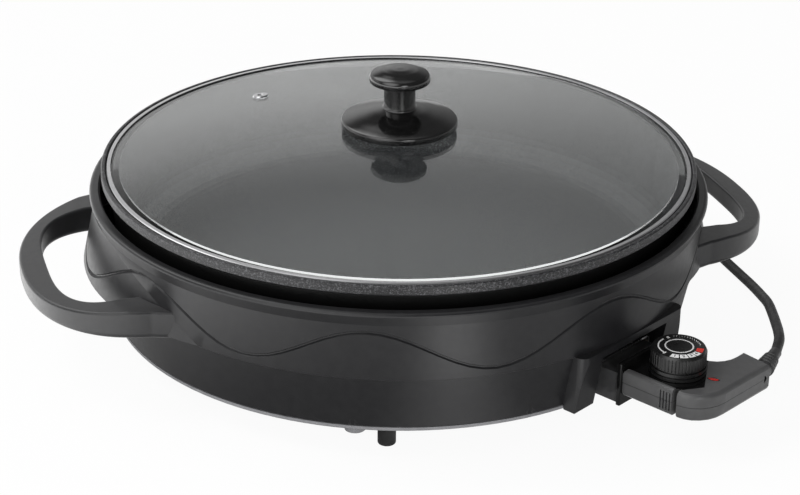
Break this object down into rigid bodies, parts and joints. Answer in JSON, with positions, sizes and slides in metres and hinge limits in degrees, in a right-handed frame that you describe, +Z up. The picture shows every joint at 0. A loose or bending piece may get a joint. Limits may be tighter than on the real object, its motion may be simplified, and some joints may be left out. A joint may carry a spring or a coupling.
{
  "type": "electric skillet",
  "caption": "Round electric skillet: pan in a plastic housing with two loop handles, lift-off domed glass lid with a knob, and a plug-in temperature controller with its lead.",
  "frame": {"origin": "centre of the footprint of handles, housing and controller, without the lead, on the floor that the feet stand on", "axes": "+Z up, X along the line of the two handles, front at -Y with the controller's socket 30 degrees right of the front"},
  "size_m": [0.5164, 0.5263, 0.1835],
  "materials": {
    "body_plastic": "fine texture, dark grey",
    "controller_plastic": "matte dark grey",
    "knob_plastic": "satin black",
    "dial_plastic": "satin black",
    "plug_plastic": "matte black",
    "deck_gloss": "glossy black",
    "lens_red": "clear red",
    "pan_coating": "cast, with a dark speckled non-stick coating",
    "base_paint": "grey",
    "reflector_sheet": "bright sheet",
    "element_sheath": "dull",
    "steel": "plain",
    "rim_steel": "polished",
    "contact_brass": "plain",
    "bush_ceramic": "white",
    "lid_glass": "clear tempered",
    "rubber_black": "matte",
    "cord_rubber": "matte"
  },
  "bodies": {
    "base": {"housing": "body_plastic", "left_handle": "body_plastic", "right_handle": "body_plastic", "handle_screws": "steel", "handle_washers": "steel", "base_plate": "base_paint", "base_screws": "steel", "feet": "rubber_black", "foot_screws": "steel", "pan": "pan_coating", "heating_element": "element_sheath", "contact_pins": "steel", "pin_bushes": "bush_ceramic", "reflector": "reflector_sheet", "spacers": "steel", "clamp_screws": "steel", "socket_guard": "steel", "earth_spring": "contact_brass"},
    "lid": {"lid_glass": "lid_glass", "lid_rim": "rim_steel", "steam_vent": "rim_steel", "knob_gasket": "rubber_black", "knob_disc": "knob_plastic", "knob": "knob_plastic", "knob_screw": "steel", "knob_washer": "steel"},
    "controller": {"upper_shell": "controller_plastic", "lower_shell": "controller_plastic", "deck_panel": "deck_gloss", "nose": "controller_plastic", "flange": "deck_gloss", "probe": "steel", "contact_sleeves": "contact_brass", "thermostat": "steel", "pilot_lens": "lens_red", "shell_screws": "steel", "strain_relief": "cord_rubber", "cord": "cord_rubber", "cord_coil": "cord_rubber", "cord_tail": "cord_rubber", "cord_tie": "knob_plastic", "plug": "plug_plastic", "plug_pins": "contact_brass", "plug_earth": "contact_brass"},
    "dial": {"dial": "dial_plastic", "dial_cap": "dial_plastic", "spindle": "steel"}
  },
  "joints": [
    {"name": "lid_lift", "type": "slide", "parent": "base", "child": "lid", "axis": [0, 0, 1], "range_m": [0, 0.12]},
    {"name": "controller_unplug", "type": "slide", "parent": "base", "child": "controller", "axis": [0.5, -0.866, 0], "range_m": [0, 0.085]},
    {"name": "dial_turn", "type": "hinge", "parent": "controller", "child": "dial", "pos_m": [0.1185, -0.18888, 0.055], "axis": [0, 0, -1], "range_deg": [0, 270]}
  ]
}
